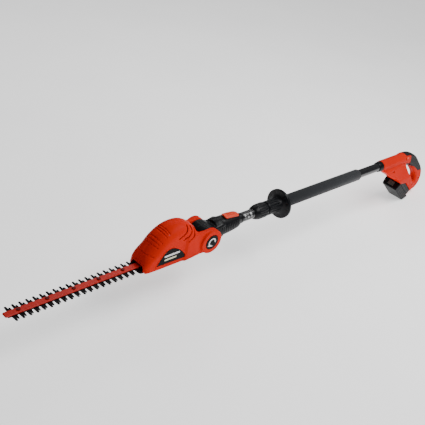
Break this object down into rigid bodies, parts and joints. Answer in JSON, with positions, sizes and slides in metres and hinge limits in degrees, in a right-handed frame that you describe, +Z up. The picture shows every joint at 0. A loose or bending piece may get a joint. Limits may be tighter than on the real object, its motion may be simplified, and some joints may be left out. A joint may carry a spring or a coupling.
{
  "type": "pole hedge trimmer",
  "caption": "Cordless pole hedge trimmer with a pivoting cutting head, a two-section pole, a foam grip and a D-shaped rear handle with a clip-on battery.",
  "frame": {"origin": "bottom centre of the bounding box, with the pole level", "axes": "+X runs along the pole from the blades to the rear handle, +Y is the user's right, +Z is up"},
  "size_m": [2.009, 0.1048, 0.2754],
  "materials": {
    "orange_shell": "semi-gloss moulded plastic",
    "black_shell": "fine texture",
    "soft_grip": "soft matt grip",
    "foam": "closed-cell foam",
    "tube": "gloss black paint on aluminium tube",
    "steel": "ground steel",
    "dark_steel": "blackened steel",
    "bar_red": "red paint",
    "gearcase_alloy": "die cast",
    "bronze": "sintered bronze",
    "copper": "copper",
    "label": "printed film",
    "wire": "insulated wire",
    "cell": "sleeved cell",
    "latch_grey": "moulded"
  },
  "bodies": {
    "handle": {"rear_tube": "tube", "foam_grip": "foam", "tube_ferrule": "black_shell", "hand_guard": "black_shell", "coupling_socket": "black_shell", "handle_shell_left": "orange_shell", "handle_shell_right": "orange_shell", "grip_overmold": "soft_grip", "handle_screws": "steel", "switch_module": "black_shell", "terminal_block": "black_shell", "power_wires": "wire"},
    "trigger": {"trigger": "black_shell"},
    "lock_off": {"lock_off_button": "orange_shell"},
    "battery": {"battery_case": "black_shell", "battery_cover": "black_shell", "battery_cells": "cell", "battery_contacts": "copper"},
    "latch_front": {"battery_latch_front": "latch_grey"},
    "latch_rear": {"battery_latch_rear": "latch_grey"},
    "front_pole": {"yoke_shell_left": "black_shell", "yoke_shell_right": "black_shell", "yoke_screws": "steel", "front_tube": "tube", "neck_label": "label", "coupling_spigot": "black_shell", "plug_pins": "bronze"},
    "collar": {"coupling_collar": "black_shell"},
    "pivot_lock": {"lock_button": "orange_shell", "lock_pawl": "steel", "lock_spring": "steel"},
    "head": {"head_shell_left": "orange_shell", "head_shell_right": "orange_shell", "head_screws": "steel", "badge_left": "black_shell", "badge_right": "black_shell", "gearcase": "gearcase_alloy", "gearcase_cover": "black_shell", "gearcase_screws": "steel", "gear_shaft": "steel", "motor_can": "steel", "motor_end_cap": "black_shell", "motor_magnets": "dark_steel", "motor_bearings": "bronze", "pivot_hub": "steel", "pivot_bolt": "steel", "pivot_cap_left": "black_shell", "pivot_cap_right": "black_shell", "detent_plate": "steel", "blade_bar": "bar_red", "bar_bolts": "dark_steel"},
    "upper_blade": {"upper_blade": "dark_steel"},
    "lower_blade": {"lower_blade": "dark_steel"},
    "gear": {"drive_gear": "steel", "upper_eccentric": "dark_steel", "lower_eccentric": "dark_steel"},
    "armature": {"armature_core": "dark_steel", "commutator": "copper", "motor_shaft": "steel", "motor_pinion": "steel"}
  },
  "joints": [
    {"name": "trigger_hinge", "type": "hinge", "parent": "handle", "child": "trigger", "pos_m": [0.8445, 0, 0.17859], "axis": [0, -1, 0], "range_deg": [0, 12], "stiffness_Nm_per_rad": 0.8, "springref_deg": -5.73},
    {"name": "lock_off_slide", "type": "slide", "parent": "handle", "child": "lock_off", "axis": [0, 1, 0], "range_m": [0, 0.004], "stiffness_N_per_m": 400, "springref_m": -0.002},
    {"name": "battery_slide", "type": "slide", "parent": "handle", "child": "battery", "axis": [-0.6561, 0, -0.7547], "range_m": [0, 0.11]},
    {"name": "front_latch_press", "type": "slide", "parent": "battery", "child": "latch_front", "axis": [0.7547, 0, -0.6561], "range_m": [0, 0.0015], "stiffness_N_per_m": 800, "springref_m": -0.001},
    {"name": "rear_latch_press", "type": "slide", "parent": "battery", "child": "latch_rear", "axis": [-0.7547, 0, 0.6561], "range_m": [0, 0.002], "stiffness_N_per_m": 800, "springref_m": -0.001},
    {"name": "front_section_slide", "type": "slide", "parent": "handle", "child": "front_pole", "axis": [-1, 0, 0], "range_m": [0, 0.09]},
    {"name": "collar_turn", "type": "hinge", "parent": "front_pole", "child": "collar", "pos_m": [-0.0455, 0, 0.19659], "axis": [1, 0, 0], "continuous": true},
    {"name": "lock_button_slide", "type": "slide", "parent": "front_pole", "child": "pivot_lock", "axis": [1, 0, 0], "range_m": [0, 0.008], "stiffness_N_per_m": 600, "springref_m": -0.004},
    {"name": "head_pivot", "type": "hinge", "parent": "front_pole", "child": "head", "pos_m": [-0.3055, 0, 0.18859], "axis": [0, 1, 0], "range_deg": [-90, 90]},
    {"name": "upper_blade_slide", "type": "slide", "parent": "head", "child": "upper_blade", "axis": [1, 0, 0], "range_m": [-0.00535, 0.00535]},
    {"name": "lower_blade_slide", "type": "slide", "parent": "head", "child": "lower_blade", "axis": [1, 0, 0], "range_m": [-0.00535, 0.00535]},
    {"name": "gear_spin", "type": "hinge", "parent": "head", "child": "gear", "pos_m": [-0.4515, 0, 0.16359], "axis": [0, 0, 1], "continuous": true},
    {"name": "motor_spin", "type": "hinge", "parent": "head", "child": "armature", "pos_m": [-0.4155, 0, 0.20659], "axis": [0, 0, 1], "continuous": true}
  ],
  "couplings": [
    {"joint": "lower_blade_slide", "follows": "upper_blade_slide", "ratio": -1},
    {"joint": "motor_spin", "follows": "gear_spin", "ratio": -5}
  ]
}
